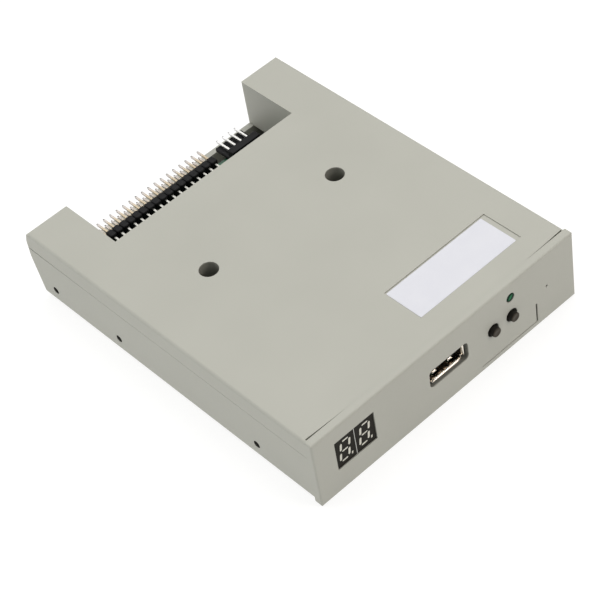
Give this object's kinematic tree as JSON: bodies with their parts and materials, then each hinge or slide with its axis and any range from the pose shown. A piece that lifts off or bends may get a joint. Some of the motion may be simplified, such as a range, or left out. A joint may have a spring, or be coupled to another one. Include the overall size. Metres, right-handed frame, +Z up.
{
  "type": "floppy drive emulator",
  "caption": "Flat drive-bay case with a memory stick socket, digit display, push buttons and lamp in front, and pin headers in a bay at the rear.",
  "frame": {"origin": "middle of the part's footprint, on the plane of the front panel's lower edge", "axes": "+X to the right seen from the front, +Y to the rear, +Z up"},
  "size_m": [0.1016, 0.1268, 0.0254],
  "materials": {
    "shell_plastic": "fine moulded grain, warm light grey",
    "black_plastic": "moulded, satin",
    "tinned_metal": "tin plated",
    "gilt_brass": "thin gold plate",
    "screw_steel": "zinc plated",
    "label_film": "white film, unprinted",
    "board_laminate": "green solder mask",
    "display_plastic": "moulded, light grey",
    "display_face": "dark film",
    "display_segment": "unlit diffusing resin",
    "lamp_resin": "tinted resin",
    "can_aluminium": "drawn can",
    "resistor_ceramic": "glazed ceramic",
    "capacitor_ceramic": "fired ceramic"
  },
  "bodies": {
    "housing": {"base_shell": "shell_plastic", "top_cover": "shell_plastic", "cover_screws": "screw_steel", "label": "label_film", "main_board": "board_laminate", "board_screws": "screw_steel", "socket_shell": "tinned_metal", "socket_tongue": "black_plastic", "socket_contacts": "gilt_brass", "display_housings": "display_plastic", "display_faces": "display_face", "display_segments": "display_segment", "display_pins": "tinned_metal", "display_board": "board_laminate", "link_header": "black_plastic", "link_pins": "gilt_brass", "lamp_lens": "lamp_resin", "lamp_leads": "tinned_metal", "left_switch_body": "black_plastic", "right_switch_body": "black_plastic", "left_switch_plate": "tinned_metal", "right_switch_plate": "tinned_metal", "left_switch_dome": "tinned_metal", "right_switch_dome": "tinned_metal", "switch_legs": "tinned_metal", "data_header": "black_plastic", "data_pins": "gilt_brass", "power_header": "black_plastic", "power_pins": "tinned_metal", "jumper_header": "black_plastic", "jumper_pins": "gilt_brass", "jumper_cap": "black_plastic", "service_header": "black_plastic", "service_pins": "gilt_brass", "processor": "black_plastic", "processor_leads": "tinned_metal", "display_driver": "black_plastic", "driver_leads": "tinned_metal", "buffer_chips": "black_plastic", "buffer_leads": "tinned_metal", "regulator": "black_plastic", "regulator_leads": "tinned_metal", "crystal_can": "tinned_metal", "crystal_leads": "tinned_metal", "capacitor_cans": "can_aluminium", "capacitor_bases": "black_plastic", "chip_resistors": "resistor_ceramic", "chip_capacitors": "capacitor_ceramic"},
    "left_key": {"left_button": "black_plastic"},
    "right_key": {"right_button": "black_plastic"}
  },
  "joints": [
    {"name": "left_button_press", "type": "slide", "parent": "housing", "child": "left_key", "axis": [0, 1, 0], "range_m": [0, 0.00025], "stiffness_N_per_m": 6400},
    {"name": "right_button_press", "type": "slide", "parent": "housing", "child": "right_key", "axis": [0, 1, 0], "range_m": [0, 0.00025], "stiffness_N_per_m": 6400}
  ]
}
